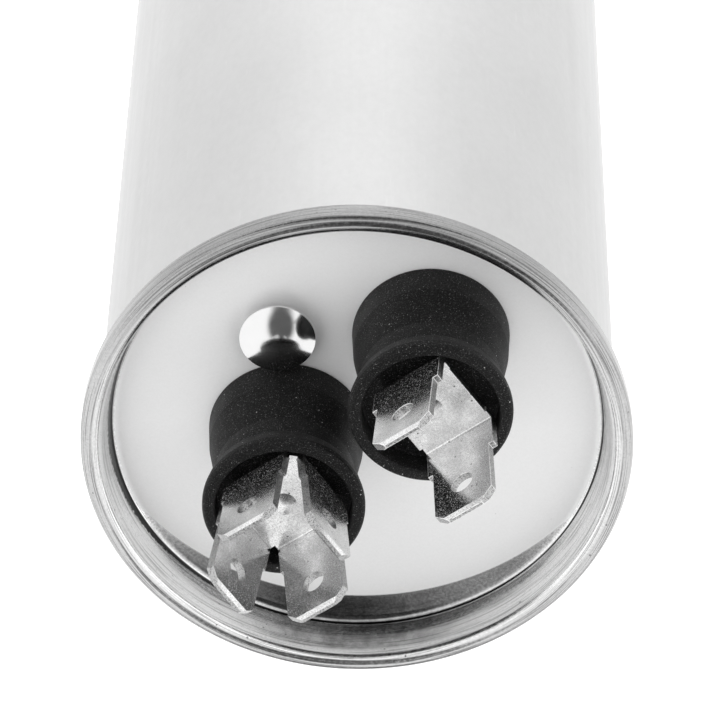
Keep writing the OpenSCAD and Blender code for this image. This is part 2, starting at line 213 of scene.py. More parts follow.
class Finish(Graph):
    """One principled material, with the patterns that a surface can show."""

    def __init__(self, name, tone, roughness, metallic=0.0, specular=0.5):
        material = bpy.data.materials.new(name)
        material.use_nodes = True
        super().__init__(material.node_tree)
        self.material = material
        self.surface = material.node_tree.nodes["Principled BSDF"]
        self.surface.inputs["Base Color"].default_value = (*tone, 1.0)
        self.surface.inputs["Roughness"].default_value = roughness
        self.surface.inputs["Metallic"].default_value = metallic
        self.surface.inputs["Specular IOR Level"].default_value = specular
        self.place = self.add("ShaderNodeTexCoord").outputs["Object"]
        self.relief = None

    def stretched(self, size, stretch):
        """Object coordinates in which one unit is the size of a feature along each axis."""
        scale = [1.0 / (size * part) for part in stretch]
        return self.add("ShaderNodeMapping", {"Vector": self.place, "Scale": scale}).outputs["Vector"]

    def noise(self, size, stretch=(1, 1, 1), detail=2.0, rough=0.5):
        """Cloudy value from 0 to 1 whose features are about one size across."""
        place = self.stretched(size, stretch)
        inputs = {"Vector": place, "Scale": 1.0, "Detail": detail, "Roughness": rough}
        return self.add("ShaderNodeTexNoise", inputs).outputs[0]

    def specks(self, spacing, radius, strength):
        """0 between small round specks, about one in each cell, and a strength at their cores."""
        inputs = {"Vector": self.stretched(spacing, (1, 1, 1)), "Scale": 1.0}
        away = self.add("ShaderNodeTexVoronoi", inputs).outputs["Distance"]
        core_r = 0.6 * radius
        return self.level(away, radius / spacing, core_r / spacing, 0.0, strength)

    def rings(self, size, drift=3.0, detail=3.0):
        """Noise drawn out along circles about the can's axis."""
        x, y, z = self.add("ShaderNodeSeparateXYZ", {"Vector": self.place}).outputs
        radius = self.math("SQRT", self.math("ADD", self.product(x, x), self.product(y, y)))
        least_radius = 1e-6  # so that nothing is divided by 0 on the axis
        safe = self.math("MAXIMUM", radius, least_radius)
        across = self.math("DIVIDE", radius, size)
        along = self.product(self.math("DIVIDE", x, safe), drift)
        other = self.product(self.math("DIVIDE", y, safe), drift)
        height = self.math("DIVIDE", z, size)
        vector = self.add("ShaderNodeCombineXYZ", {"X": across, "Y": height, "Z": along}).outputs[0]
        inputs = {"Vector": vector, "W": other, "Scale": 1.0, "Detail": detail}
        return self.add("ShaderNodeTexNoise", inputs, noise_dimensions="4D").outputs[0]

    def radius(self, place=None):
        """Distance from the can's axis of a place, or of the point itself."""
        inputs = {0: place or self.place, 1: (1.0, 1.0, 0.0)}
        flat = self.add("ShaderNodeVectorMath", inputs, operation="MULTIPLY").outputs[0]
        return self.add("ShaderNodeVectorMath", {0: flat}, operation="LENGTH").outputs["Value"]

    def along(self, axis):
        """Distance from the middle of the can along one axis."""
        return self.add("ShaderNodeSeparateXYZ", {"Vector": self.place}).outputs[axis]

    def level(self, value, low, high, to_low, to_high, smooth=False):
        """Value carried from one range to another and held at its ends."""
        inputs = {"Value": value, "From Min": low, "From Max": high, "To Min": to_low, "To Max": to_high}
        kind = "SMOOTHSTEP" if smooth else "LINEAR"
        return self.add("ShaderNodeMapRange", inputs, interpolation_type=kind, clamp=True).outputs["Result"]

    def between(self, share, first, last):
        """Value that goes from first to last as a share goes from 0 to 1."""
        return self.level(share, 0.0, 1.0, first, last)

    def peaks(self, pattern, start, full, strength=1.0):
        """0 below a pattern's start value, rising to a strength at its full value."""
        return self.level(pattern, start, full, 0.0, strength)

    def product(self, first, second):
        """One value times another."""
        return self.math("MULTIPLY", first, second)

    def pick(self, share, first, second):
        """Two values mixed by a share."""
        return self.add("ShaderNodeMix", {0: share, 2: first, 3: second}, data_type="FLOAT").outputs[0]

    def blend(self, share, first, second):
        """Two colours mixed by a share."""
        mix = self.add("ShaderNodeMix", data_type="RGBA")
        for socket, value in zip((mix.inputs[0], mix.inputs[6], mix.inputs[7]), (share, first, second)):
            self.put(socket, (*value, 1.0) if isinstance(value, tuple) else value)
        return mix.outputs[2]

    def shades(self, share, tone, dark, pale):
        """Mix by a share of a tone times dark and the same tone times pale, held at white."""
        ends = [tuple(min(1.0, times * part) for part in tone) for times in (dark, pale)]
        return self.blend(share, *ends)

    def colour(self, value):
        """Sets the surface's colour."""
        self.put(self.surface.inputs["Base Color"], value)

    def rough(self, value):
        """Sets the surface's roughness."""
        self.put(self.surface.inputs["Roughness"], value)

    def metal(self, value):
        """Sets how much of the surface is bare metal."""
        self.put(self.surface.inputs["Metallic"], value)

    def scaled(self, colour, share):
        """Colour times a share."""
        return self.add("ShaderNodeVectorMath", {0: colour, "Scale": share}, operation="SCALE").outputs[0]

    def lean(self, slope, share):
        """Tilts the surface a little by a slope along each axis, where the share is 1."""
        normal = self.add("ShaderNodeNewGeometry").outputs["Normal"]
        tilt = self.add("ShaderNodeVectorMath", {0: slope, "Scale": share}, operation="SCALE").outputs[0]
        total = self.add("ShaderNodeVectorMath", {0: normal, 1: tilt}, operation="ADD").outputs[0]
        self.relief = self.add("ShaderNodeVectorMath", {0: total}, operation="NORMALIZE").outputs[0]
        self.put(self.surface.inputs["Normal"], self.relief)

    def raise_by(self, height, depth):
        """Adds relief of a given depth to the surface."""
        inputs = {"Height": height, "Strength": 1.0, "Distance": depth}
        if self.relief is not None:
            inputs["Normal"] = self.relief
        self.relief = self.add("ShaderNodeBump", inputs).outputs["Normal"]
        self.put(self.surface.inputs["Normal"], self.relief)


def grey(value):
    return (value, value, value)


def dress(node, finish):
    """Gives a CAD node one material."""
    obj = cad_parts[node]
    obj.data.materials.clear()
    obj.data.materials.append(finish.material)


# ------------------------------------------------------------------ finishes

# Range of nearly all of a noise pattern's values, and the narrower range of most of them
WIDE = (0.3, 0.7)
MOST = (0.35, 0.65)


def drawn_aluminium(settings):
    """Satin can wall with fine lines along the draw, soft clouds and a few handling scuffs."""
    tone, rough = tuple(settings.tone), settings.roughness
    finish = Finish("drawn_aluminium", tone, rough, metallic=1.0)
    lines = finish.noise(0.14 * MM, (1, 1, 90))
    bands = finish.noise(0.9 * MM, (1, 1, 70), detail=3.0)
    clouds = finish.noise(9 * MM, (1, 1, 1.6), detail=3.0)
    dents = finish.noise(0.8 * MM, (1, 1, 1.5), detail=4.0, rough=0.7)
    scuffs = finish.peaks(finish.noise(0.5 * MM, (1, 1, 9), detail=4.0), 0.66, 0.74, 0.3)
    uneven = finish.product(finish.math("ADD", bands, clouds), 0.5)
    base = finish.shades(finish.level(uneven, *MOST, 0.0, 1.0), tone, 0.96, 1.03)
    base = finish.scaled(base, finish.level(dents, *WIDE, 0.97, 1.02))
    finish.colour(finish.blend(scuffs, base, grey(0.6)))
    finish.rough(finish.level(bands, *WIDE, rough - 0.04, rough + 0.06))
    finish.raise_by(lines, settings.draw_line)
    finish.raise_by(clouds, 12 * settings.draw_line)
    return finish


class Tinplate(Finish):
    """Dull panel with painted light at the back and painted shade towards the front, a dark crescent in
    front that is partly a painted reflection of the wall, and a bright wall and rim with roller marks.
    """

    # Bands of the wall and rim, as distances outside the corner where panel and wall meet
    WALL = (-0.5 * MM, 0.1 * MM)
    LIP = (0.7 * MM, 0.9 * MM)
    CREST = (0.9 * MM, 1.4 * MM)
    OUTER_CREST = (1.6 * MM, 2.1 * MM)
    # Shares of its brightness that the metal keeps; at the back the darkening is partly wear and partly a
    # painted dark reflection
    ON_CREST = 0.66
    AT_BACK = 0.64
    IN_ROLLER_LINE = 0.62
    # Shares of its brightness that the inside of the wall loses, partly to wear and partly to painted dark
    # reflections
    LOST_IN_MIDDLE = 0.66
    LOST_BEHIND = 0.38

    def __init__(self, settings):
        super().__init__("tinplate", tuple(settings.tone), settings.roughness)
        self.settings = settings
        self.out = self.math("SUBTRACT", self.radius(), settings.panel_radius)
        self.depth = self.along("Y")
        self.worn = self.noise(0.3 * MM, detail=4.0, rough=0.65)
        self.mottle = self.level(self.worn, *MOST, 0.0, 1.0)
        self.rolled = self.rings(0.11 * MM)
        self.walls = self.outside(self.WALL, 0.0, 1.0)
        self.bright = self.math("MAXIMUM", self.crescent(), self.walls)
        self.paint()
        self.polish()

    def outside(self, band, first, last):
        """Value that goes smoothly from first to last across a band outside the corner."""
        return self.level(self.out, *band, first, last, smooth=True)

    def on_walls(self, pattern):
        """A pattern on the wall and rim, and 0 on the panel."""
        return self.product(pattern, self.walls)

    def paint(self):
        """Joins the three tones, with a line of painted shade in the corner, and sparkles and pits on wall
        and rim.
        """
        metal = self.blend(self.walls, self.painted_reflection_tone(), self.wall_tone())
        base = self.blend(self.bright, self.panel_tone(), metal)
        # A thin line of painted shade darkens the corner between panel and wall.
        base = self.scaled(base, self.between(self.painted_corner_shade(), 1.0, 0.05))
        sparkles = self.on_walls(self.specks(1.0 * MM, 0.04 * MM, 0.6))
        pits = self.on_walls(self.specks(1.6 * MM, 0.13 * MM, 0.8))
        self.colour(self.blend(pits, self.blend(sparkles, base, grey(0.9)), grey(0.15)))

    def polish(self):
        """Dull on the panel and metallic elsewhere, with frosty dots and fine relief on wall and rim."""
        rubbed = self.level(self.worn, *MOST, 0.15, 0.27)
        polished = self.pick(self.walls, 0.12, rubbed)
        self.rough(self.pick(self.bright, self.settings.roughness, polished))
        frost = self.level(self.noise(0.16 * MM, rough=0.7), 0.56, 0.68, 1.0, 0.80)
        self.metal(self.product(self.between(self.bright, 0.15, 1.0), frost))
        flat_part = self.product(self.bright, self.math("SUBTRACT", 1.0, self.walls))
        self.lean((0.0, self.settings.dip, 0.0), flat_part)
        self.raise_by(self.on_walls(self.worn), 0.0025 * MM)
        self.raise_by(self.on_walls(self.rolled), 0.003 * MM)

    def crescent(self):
        """1 on the crescent at the front of the panel, which a circle cuts off. The wall's real mirror
        image darkens it, and a painted reflection of the wall darkens it more.
        """
        back = (0.0, self.settings.crescent_back, 0.0)
        edge = 0.1 * MM
        moved = self.add("ShaderNodeVectorMath", {0: self.place, 1: back}, operation="ADD").outputs[0]
        past = self.math("SUBTRACT", self.radius(moved), self.settings.crescent_radius)
        return self.level(past, -edge, edge, 0.0, 1.0, smooth=True)

    def panel_tone(self):
        """Even tone with a faint grain and a few dark dots, with painted shade towards the front and
        painted light that makes it palest at the back.
        """
        grain = self.level(self.noise(0.2 * MM, detail=4.0), *WIDE, 0.0, 1.0)
        panel = self.shades(grain, self.settings.tone, 0.98, 1.02)
        # Painted shade towards the front and painted light at the back of the panel.
        panel = self.scaled(panel, self.level(self.depth, 0.0, 22 * MM, 1.0, 0.74))
        panel = self.scaled(panel, self.level(self.depth, -20 * MM, -8 * MM, 1.04, 1.0))
        return self.blend(self.specks(2.8 * MM, 0.07 * MM, 0.5), panel, grey(0.4))

    def painted_reflection_tone(self):
        """Mottled tone of the crescent, a painted reflection of the wall, darkest in the middle of the
        front.
        """
        mirror = self.shades(self.mottle, self.settings.bright_tone, 0.6, 1.15)
        # The crescent's dark tone is a painted reflection of the wall, darkest in the middle of the front.
        return self.scaled(mirror, self.level(self.depth, 10 * MM, 17 * MM, 0.75, 0.34, smooth=True))

    def wall_tone(self):
        """Streaky bright tone with roller lines, darker on the crest, and darker at the back and where it
        is worn, partly by wear and partly by painted dark reflections.
        """
        uneven = self.math("MULTIPLY_ADD", self.math("SUBTRACT", self.worn, 0.5), 0.5, self.rolled)
        streaks = self.level(uneven, 0.38, 0.62, 0.0, 1.0)
        wall = self.shades(streaks, self.settings.bright_tone, 1.42, 1.6)
        crest = self.outside(self.CREST, 1.0, self.ON_CREST)
        outer = self.outside(self.OUTER_CREST, 1.0, self.settings.crest)
        # Darker back of wall and rim: partly wear, partly a painted dark reflection.
        back = self.level(self.depth, -22 * MM, -8 * MM, self.AT_BACK, 1.0)
        mottle = self.between(self.mottle, 0.90, 1.0)
        lines = self.level(self.rolled, 0.41, 0.47, self.IN_ROLLER_LINE, 1.0)
        # The inside of the wall is darkened by wear and by painted dark reflections.
        worn_and_shaded = self.product(self.outside(self.LIP, 1.0, 0.0), self.wall_wear_and_shade())
        for share in (crest, outer, back, mottle, lines, self.math("SUBTRACT", 1.0, worn_and_shaded)):
            wall = self.scaled(wall, share)
        return wall

    def wall_wear_and_shade(self):
        """Share of its brightness that the wall has lost, partly to wear and partly to painted dark
        reflections: most in its middle, some in its back half.
        """
        beside = self.math("ABSOLUTE", self.along("X"))
        middle_part = self.level(beside, 4 * MM, 14 * MM, self.LOST_IN_MIDDLE, 0.0, smooth=True)
        back_half = self.level(self.depth, 0.0, 10 * MM, self.LOST_BEHIND, 0.0, smooth=True)
        patches = self.level(self.noise(1.3 * MM, detail=4.0, rough=0.6), *MOST, 1.0, 0.6)
        return self.product(self.math("MAXIMUM", middle_part, back_half), patches)

    def painted_corner_shade(self):
        """1 on the thin line of painted shade between panel and wall, which is widest at +X and narrower in
        front.
        """
        narrow, wide, edge = 0.10 * MM, 0.34 * MM, 0.03 * MM
        width = self.level(self.along("X"), -8 * MM, 18 * MM, narrow, wide)
        width = self.product(width, self.between(self.mottle, 0.85, 1.1))
        width = self.product(width, self.level(self.depth, 4 * MM, 16 * MM, 1.0, 0.45))
        past = self.math("SUBTRACT", self.out, width)
        outer = self.level(past, edge, -edge, 0.0, 1.0, smooth=True)
        inner = self.level(self.out, -0.10 * MM, -0.02 * MM, 0.0, 1.0, smooth=True)
        return self.product(outer, inner)


def polished_steel():
    """Mirror-bright dome with the faintest tumbling marks."""
    finish = Finish("polished_steel", grey(0.67), 0.05, metallic=1.0)
    haze = finish.noise(1.2 * MM, detail=3.0)
    finish.colour(finish.blend(haze, grey(0.64), grey(0.70)))
    finish.rough(finish.level(haze, *WIDE, 0.09, 0.16))
    finish.raise_by(finish.noise(0.8 * MM), 0.002 * MM)
    return finish


def black_plastic(settings):
    """Moulded plastic with a fine grain and many small specks of pale dust."""
    tone, rough = tuple(settings.tone), settings.roughness
    finish = Finish("black_plastic", tone, rough, specular=0.12)
    grain = finish.noise(0.11 * MM, detail=3.0, rough=0.7)
    cloud = finish.noise(3 * MM, detail=3.0)
    base = finish.shades(cloud, tone, 0.7, 1.4)
    spark = finish.peaks(grain, 0.54, 0.66, 0.6)
    fine = finish.specks(0.30 * MM, 0.045 * MM, 0.4)
    coarse = finish.specks(1.25 * MM, 0.075 * MM, 0.9)
    dust = finish.math("MAXIMUM", fine, coarse)
    finish.colour(finish.blend(dust, finish.blend(spark, base, grey(0.11)), grey(0.55)))
    finish.rough(finish.level(cloud, *WIDE, rough - 0.06, rough + 0.06))
    finish.raise_by(grain, 0.009 * MM)
    return finish


def tinned_steel(settings):
    """Rolled and tinned sheet: bright, with a strong fine grain, frosty dots and dark pinholes."""
    tone, rough = tuple(settings.tone), settings.roughness
    finish = Finish("tinned_steel", tone, rough, metallic=1.0)
    grain = finish.level(finish.noise(0.20 * MM, detail=3.0, rough=0.75), *WIDE, 0.0, 1.0)
    cloud = finish.level(finish.noise(2.2 * MM, detail=4.0), *MOST, 0.0, 1.0)
    frost = finish.noise(0.15 * MM, rough=0.7)
    pinholes = finish.specks(1.1 * MM, 0.12 * MM, 0.85)
    base = finish.scaled(finish.shades(grain, tone, 0.76, 1.12), finish.between(cloud, 0.83, 1.0))
    finish.colour(finish.blend(pinholes, base, grey(0.08)))
    finish.rough(finish.between(cloud, rough + 0.05, rough - 0.03))
    finish.metal(finish.level(frost, 0.53, 0.67, 1.0, 0.42))
    finish.raise_by(grain, 0.003 * MM)
    return finish


def sheared_steel():
    """Bright, slightly torn edge of the tinned sheet, with dark flecks along it."""
    finish = Finish("sheared_steel", grey(0.40), 0.3, metallic=1.0)
    torn = finish.level(finish.noise(0.16 * MM, (1, 1, 0.4), detail=3.0), *WIDE, 0.0, 1.0)
    flecks = finish.peaks(finish.noise(0.15 * MM), 0.54, 0.66, 0.9)
    finish.colour(finish.blend(flecks, finish.blend(torn, grey(0.26), grey(0.54)), grey(0.09)))
    finish.rough(finish.between(torn, 0.22, 0.42))
    finish.raise_by(torn, 0.015 * MM)
    return finish


def burnished_steel():
    """Rim of a sheared edge, rubbed bright, with a nick here and there."""
    finish = Finish("burnished_steel", grey(0.8), 0.45, metallic=0.7)
    nicks = finish.peaks(finish.noise(0.25 * MM), 0.56, 0.66)
    finish.colour(finish.blend(finish.product(nicks, 0.8), grey(0.82), grey(0.16)))
    finish.rough(finish.between(nicks, 0.42, 0.55))
    return finish


def plain_finish(
    name, tone, roughness, metallic=0.0, size=0.4 * MM, stretch=(1, 1, 1), depth=0.004 * MM, spread=0.12
):
    """A quiet mottled finish for the pieces inside the can."""
    finish = Finish(name, tone, roughness, metallic=metallic)
    mottle = finish.noise(size, stretch, detail=3.0)
    finish.colour(finish.shades(mottle, tone, 1 - spread, 1 + spread))
    finish.rough(finish.level(mottle, *WIDE, 0.85 * roughness, min(1.0, 1.15 * roughness)))
    finish.raise_by(mottle, depth)
    return finish


# ------------------------------------------------------------------ shapes


def turning_tree():
    """Geometry nodes that round the corners of a section and turn it about an axis."""
    made = bpy.data.node_groups.get("turned_piece")
    if made:
        return made
    tree = bpy.data.node_groups.new("turned_piece", "GeometryNodeTree")
    tree.interface.new_socket("Section", in_out="INPUT", socket_type="NodeSocketGeometry")
    tree.interface.new_socket("Axis", in_out="INPUT", socket_type="NodeSocketVector")
    steps = tree.interface.new_socket("Steps", in_out="INPUT", socket_type="NodeSocketInt")
    steps.default_value = 96
    arc = tree.interface.new_socket("Corner Steps", in_out="INPUT", socket_type="NodeSocketInt")
    arc.default_value = 6
    tree.interface.new_socket("Finish", in_out="INPUT", socket_type="NodeSocketMaterial")
    tree.interface.new_socket("Piece", in_out="OUTPUT", socket_type="NodeSocketGeometry")
    graph = Graph(tree)
    given = graph.add("NodeGroupInput").outputs
    circle_r = 0.1  # any radius will do, because the section is moved in by as much
    touching = 0.005 * MM
    outline = graph.add("GeometryNodeMeshToCurve", {"Mesh": given["Section"]})
    corner = graph.add("GeometryNodeInputNamedAttribute", {"Name": "corner"}, data_type="FLOAT")
    inputs = {
        "Curve": outline.outputs[0],
        "Count": given["Corner Steps"],
        "Radius": corner.outputs["Attribute"],
        "Limit Radius": True,
    }
    rounded = graph.add("GeometryNodeFilletCurve", inputs, mode="POLY")
    inputs = {
        "Geometry": rounded.outputs[0],
        "Translation": (-circle_r, 0, 0),
        "Rotation": (math.pi / 2, 0, 0),
    }
    laid = graph.add("GeometryNodeTransform", inputs)
    inputs = {"Resolution": given["Steps"], "Radius": circle_r}
    circle = graph.add("GeometryNodeCurvePrimitiveCircle", inputs)
    path = graph.add("GeometryNodeSetCurveNormal", {"Curve": circle.outputs["Curve"]}, mode="Z_UP")
    inputs = {"Curve": path.outputs[0], "Profile Curve": laid.outputs[0]}
    turned = graph.add("GeometryNodeCurveToMesh", inputs)
    inputs = {"Geometry": turned.outputs[0], "Distance": touching}
    merged = graph.add("GeometryNodeMergeByDistance", inputs)
    inputs = {"Geometry": merged.outputs[0], "Translation": given["Axis"]}
    placed = graph.add("GeometryNodeTransform", inputs)
    real = graph.add("GeometryNodeRealizeInstances", {"Geometry": placed.outputs[0]})
    inputs = {"Geometry": real.outputs[0], "Material": given["Finish"]}
    finished = graph.add("GeometryNodeSetMaterial", inputs)
    graph.add("NodeGroupOutput", {"Piece": finished.outputs[0]})
    return tree


def set_inputs(modifier, **values):
    """Sets a geometry nodes modifier's inputs by the identifiers of their sockets."""
    for item in modifier.node_group.interface.items_tree:
        name = item.name.replace(" ", "_").lower()
        if item.in_out == "INPUT" and name in values:
            modifier[item.identifier] = values[name]


def plain_mesh(obj):
    """Turns what an object's modifiers make into its own mesh."""
    graph = bpy.context.evaluated_depsgraph_get()
    mesh = bpy.data.meshes.new_from_object(obj.evaluated_get(graph))
    obj.modifiers.clear()
    obj.data = mesh
    mesh.name = obj.name
    return obj


def new_object(name, mesh):
    obj = bpy.data.objects.new(name, mesh)
    bpy.context.scene.collection.objects.link(obj)
    return obj


def turned_piece(name, section, axis, steps, finish):
    """Solid of revolution. The section is a list of (radius, height, corner radius)."""
    mesh = bpy.data.meshes.new(name)
    count = len(section)
    ends_on_axis = section[0][0] == 0
    edges = [(k, (k + 1) % count) for k in range(count - 1 if ends_on_axis else count)]
    mesh.from_pydata([(r, 0.0, z) for r, z, _ in section], edges, [])
    corner = mesh.attributes.new("corner", "FLOAT", "POINT")
    corner.data.foreach_set("value", [round_by for _, _, round_by in section])
    obj = new_object(name, mesh)
    modifier = obj.modifiers.new("turned", "NODES")
    modifier.node_group = turning_tree()
    set_inputs(modifier, axis=tuple(axis), steps=steps, corner_steps=8, finish=finish.material)
    return outward(plain_mesh(obj))


def outward(obj):
    """Points every face of a closed shape outwards."""
    shape = bmesh.new()
    shape.from_mesh(obj.data)
    bmesh.ops.recalc_face_normals(shape, faces=shape.faces)
    shape.to_mesh(obj.data)
    shape.free()
    return obj


def smooth(obj, fold=math.radians(32)):
    """Smooth shading that keeps flat faces flat, and keeps edges sharper than a fold crisp."""
    for face in obj.data.polygons:
        face.use_smooth = True
    obj.data.set_sharp_from_angle(angle=fold)
    modifier = obj.modifiers.new("weighted", "WEIGHTED_NORMAL")
    modifier.keep_sharp = True
    return plain_mesh(obj)


def drilled(obj, holes, low, high):
    """Cuts round holes, given as (centre, radius), through an object between two heights."""
    shape = bmesh.new()
    for centre, radius in holes:
        place = Matrix.Translation((centre.x, centre.y, (low + high) / 2))
        bmesh.ops.create_cone(
            shape, cap_ends=True, segments=48, radius1=radius, radius2=radius, depth=high - low,
            matrix=place,
        )
    mesh = bpy.data.meshes.new("drill")
    shape.to_mesh(mesh)
    shape.free()
    drill = new_object("drill", mesh)
    modifier = obj.modifiers.new("holes", "BOOLEAN")
    modifier.object = drill
    modifier.solver = "EXACT"
    plain_mesh(obj)
    bpy.data.objects.remove(drill)
    return obj


# Slots of a pressed piece's three finishes
ROLLED, CUT, RIM = range(3)


def pressed_copy(node, name, edge, finishes):
    """Copy of a folded sheet with worn edges, and finishes for its rolled faces, cut faces and rims."""
    same_place, same_plane, fold = 0.001 * MM, math.radians(1), math.radians(30)
    shape = bmesh.new()
    shape.from_mesh(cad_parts[node].data)
    bmesh.ops.remove_doubles(shape, verts=shape.verts, dist=same_place)
    bmesh.ops.dissolve_limit(shape, angle_limit=same_plane, verts=shape.verts, edges=shape.edges)
    shape.normal_update()
    flat = mark_faces(shape)
    sharp = [e for e in shape.edges if len(e.link_faces) == 2 and e.calc_face_angle() > fold]
    bmesh.ops.bevel(
        shape, geom=sharp, offset=edge, offset_type="OFFSET", segments=3, profile=0.5, affect="EDGES",
        clamp_overlap=True, material=RIM,
    )
    shape.normal_update()
    normals = corner_normals(shape, lambda face: face[flat] and face.material_index != RIM)
    for face in shape.faces:
        face.smooth = True
    mesh = bpy.data.meshes.new(name)
    shape.to_mesh(mesh)
    shape.free()
    mesh.normals_split_custom_set(normals)
    for finish in finishes:
        mesh.materials.append(finish.material)
    return new_object(name, mesh)


def mark_faces(shape):
    """Tells a folded sheet's rolled faces from its cut ones, and its flats from the strips of its bends.

    A rolled face has the sheet's other face just behind it, or is larger than any cut face. The
    layer that is given back holds 1 on the flats.
    """
    sheet = 0.9 * MM
    largest_cut = 8.0 * MM * MM
    largest_strip = 2.0 * MM * MM
    just_inside = 0.01 * MM
    least_turn, most_turn = 0.5, 25
    tree = BVHTree.FromBMesh(shape)
    flat = shape.faces.layers.int.new("flat")
    for face in shape.faces:
        area = face.calc_area()
        start = face.calc_center_median() - face.normal * just_inside
        behind = tree.ray_cast(start, -face.normal)[3]
        rolled = area > largest_cut or (behind is not None and behind < sheet)
        face.material_index = ROLLED if rolled else CUT
        turns = [math.degrees(e.calc_face_angle(0.0)) for e in face.edges]
        curved = any(least_turn < turn < most_turn for turn in turns)
        face[flat] = int(not curved or area > largest_strip)
    return flat


def corner_normals(shape, is_flat):
    """A normal for every face corner: flat faces stay flat, and the rest blend into them."""
    same_side = 0.5  # cosine of the widest angle between faces that blend
    at_vertex = {}
    for vertex in shape.verts:
        flats = [face for face in vertex.link_faces if is_flat(face)]
        source = flats or vertex.link_faces
        at_vertex[vertex] = [(face.normal.copy(), face.calc_area()) for face in source]
    normals = []
    for face in shape.faces:
        for vertex in face.verts:
            if is_flat(face):
                normals.append(face.normal.copy())
                continue
            near = [(n, a) for n, a in at_vertex[vertex] if n.dot(face.normal) > same_side]
            total = sum((n * a for n, a in near), Vector())
            normals.append(total.normalized() if near else face.normal.copy())
    return normals


# ------------------------------------------------------------------ operators


